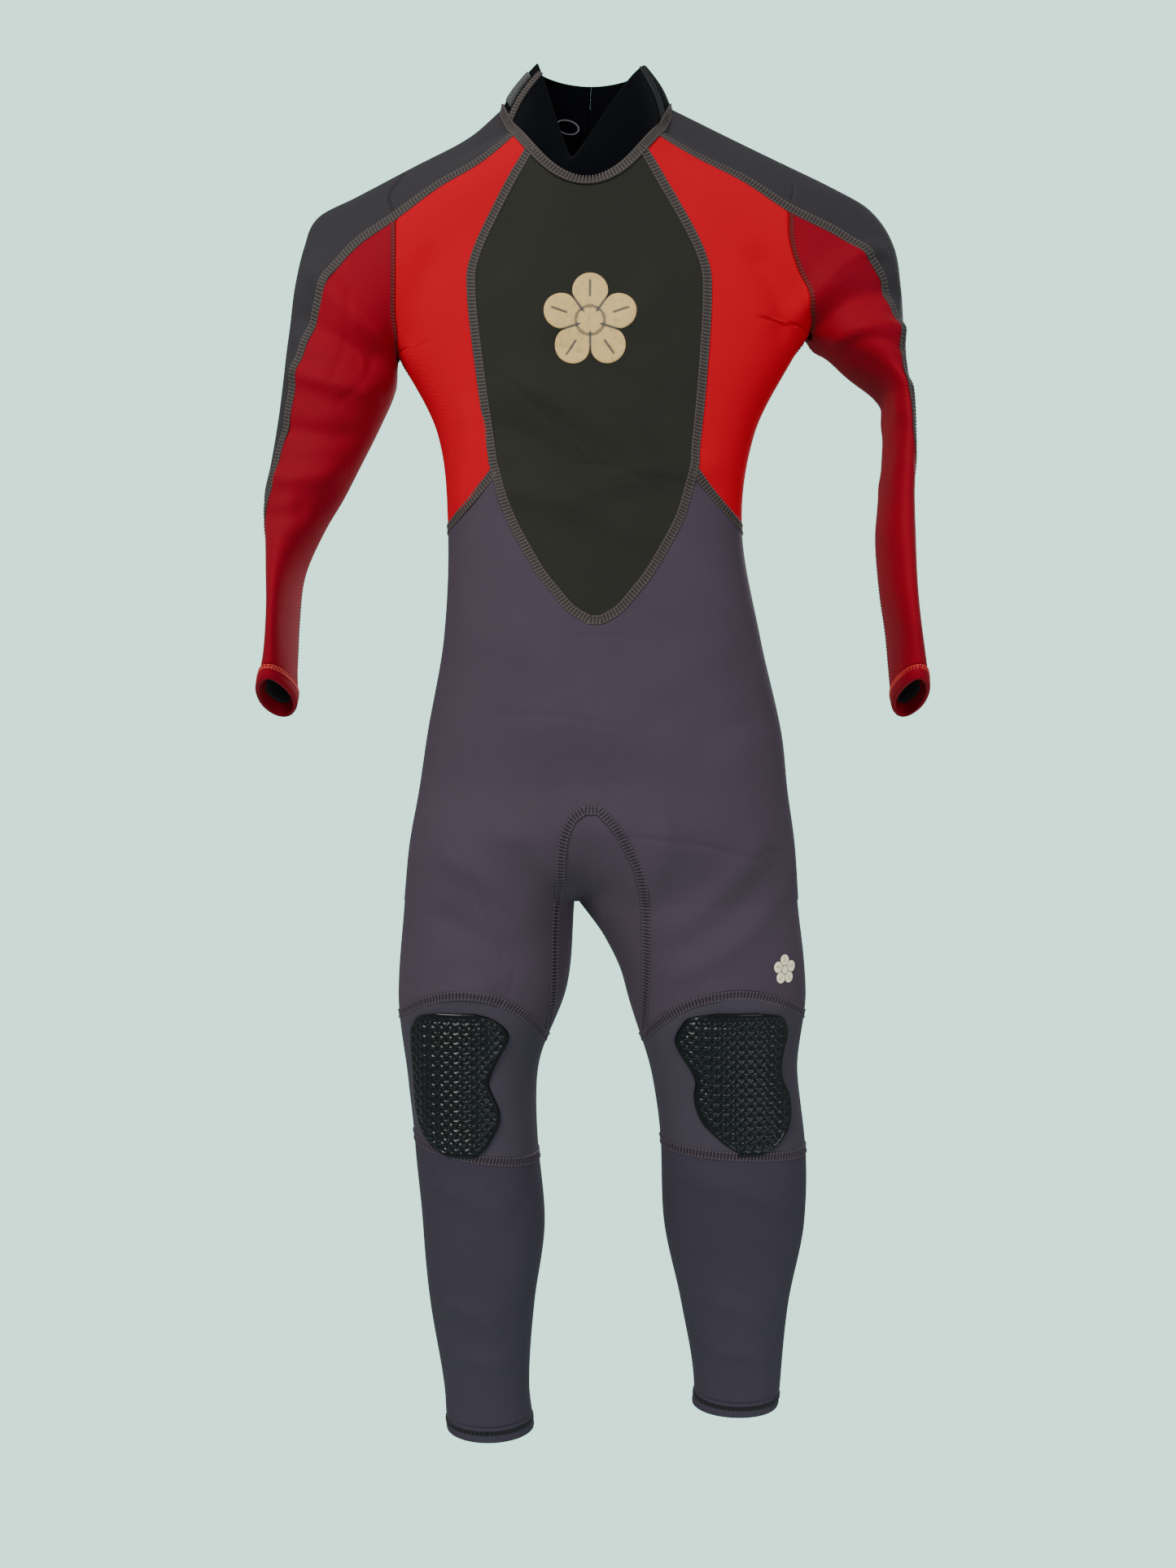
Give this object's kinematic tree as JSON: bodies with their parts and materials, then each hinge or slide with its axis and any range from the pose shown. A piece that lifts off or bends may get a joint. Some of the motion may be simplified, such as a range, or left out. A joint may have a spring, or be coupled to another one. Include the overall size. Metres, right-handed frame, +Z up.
{
  "type": "full wetsuit",
  "caption": "Full-length wetsuit with long sleeves, moulded knee pads, a stand collar with a tab closure and a back zip, hung by its shoulders",
  "frame": {"origin": "the point between the two sides of the collar where a hanger's bar carries the shoulders", "axes": "+Z up along the hanging suit, -Y out of the front, +X to the wearer's left"},
  "size_m": [0.5622, 0.1231, 1.1425],
  "materials": {
    "chest_neoprene": "knitted cloth over foamed rubber",
    "red_neoprene": "knitted cloth over foamed rubber",
    "dark_red_neoprene": "knitted cloth over foamed rubber",
    "grey_neoprene": "knitted cloth over foamed rubber",
    "mauve_grey_neoprene": "knitted cloth over foamed rubber",
    "back_neoprene": "knitted cloth over foamed rubber",
    "knee_neoprene": "knitted cloth over foamed rubber",
    "calf_neoprene": "knitted cloth over foamed rubber",
    "collar_neoprene": "knitted cloth over foamed rubber",
    "hook_and_loop": "woven",
    "zip_cloth": "woven",
    "knee_pad_rubber": "moulded, satin with an embossed brick weave",
    "zip_teeth_plastic": "moulded",
    "zip_slider_plastic": "moulded",
    "chest_print_ink": "cream rubber print",
    "thigh_print_ink": "ivory rubber print",
    "size_print_ink": "pale print"
  },
  "bodies": {
    "suit": {"chest_panel": "chest_neoprene", "side_panel_left": "red_neoprene", "side_panel_right": "red_neoprene", "shoulder_strip_left": "grey_neoprene", "shoulder_strip_right": "grey_neoprene", "hip_panel": "mauve_grey_neoprene", "gusset": "mauve_grey_neoprene", "back_panel_left": "back_neoprene", "back_panel_right": "back_neoprene", "seat_panel": "mauve_grey_neoprene", "knee_panel_left": "knee_neoprene", "knee_panel_right": "knee_neoprene", "knee_pad_left": "knee_pad_rubber", "knee_pad_right": "knee_pad_rubber", "collar_front": "collar_neoprene", "collar_back_left": "collar_neoprene", "collar_back_right": "collar_neoprene", "collar_loop_patch": "hook_and_loop", "zip_tape_left": "zip_cloth", "zip_tape_right": "zip_cloth", "zip_teeth_left": "zip_teeth_plastic", "zip_teeth_right": "zip_teeth_plastic", "zip_top_stops": "zip_slider_plastic", "zip_bottom_stop": "zip_slider_plastic", "zip_flap": "zip_cloth", "chest_print": "chest_print_ink", "thigh_print": "thigh_print_ink", "size_print": "size_print_ink"},
    "sleeve_left": {"sleeve_strip_left": "grey_neoprene", "sleeve_under_left": "dark_red_neoprene", "cuff_left": "dark_red_neoprene"},
    "sleeve_right": {"sleeve_strip_right": "grey_neoprene", "sleeve_under_right": "dark_red_neoprene", "cuff_right": "dark_red_neoprene"},
    "calf_left": {"lower_leg_left": "calf_neoprene", "ankle_hem_left": "calf_neoprene"},
    "calf_right": {"lower_leg_right": "calf_neoprene", "ankle_hem_right": "calf_neoprene"},
    "slider": {"zip_slider": "zip_slider_plastic"},
    "pull": {"pull_tab": "zip_slider_plastic"},
    "tab": {"collar_tab": "collar_neoprene", "tab_hook_patch": "hook_and_loop"}
  },
  "joints": [
    {"name": "zip_slide", "type": "slide", "parent": "suit", "child": "slider", "axis": [0, 0, -1], "range_m": [0, 0.3]},
    {"name": "pull_tab_flip", "type": "hinge", "parent": "slider", "child": "pull", "pos_m": [0.003, 0.0531, -0.039], "axis": [1, 0, 0], "range_deg": [0, 150]},
    {"name": "collar_tab_peel", "type": "hinge", "parent": "suit", "child": "tab", "pos_m": [0.02651, 0.03903, 0.02], "axis": [0.1256, 0.1484, -0.9809], "range_deg": [0, 110]},
    {"name": "sleeve_lift_left", "type": "hinge", "parent": "suit", "child": "sleeve_left", "pos_m": [0.157, 0, -0.035], "axis": [0, -1, 0], "range_deg": [0, 40]},
    {"name": "sleeve_lift_right", "type": "hinge", "parent": "suit", "child": "sleeve_right", "pos_m": [-0.1555, 0, -0.0415], "axis": [0, 1, 0], "range_deg": [0, 40]},
    {"name": "knee_bend_left", "type": "hinge", "parent": "suit", "child": "calf_left", "pos_m": [0.1175, 0.0409, -0.8552], "axis": [0.9988, 0, -0.0494], "range_deg": [0, 60], "stiffness_Nm_per_rad": 2.5},
    {"name": "knee_bend_right", "type": "hinge", "parent": "suit", "child": "calf_right", "pos_m": [-0.0969, 0.0442, -0.8552], "axis": [0.9854, 0, -0.17], "range_deg": [0, 60], "stiffness_Nm_per_rad": 2.5}
  ]
}
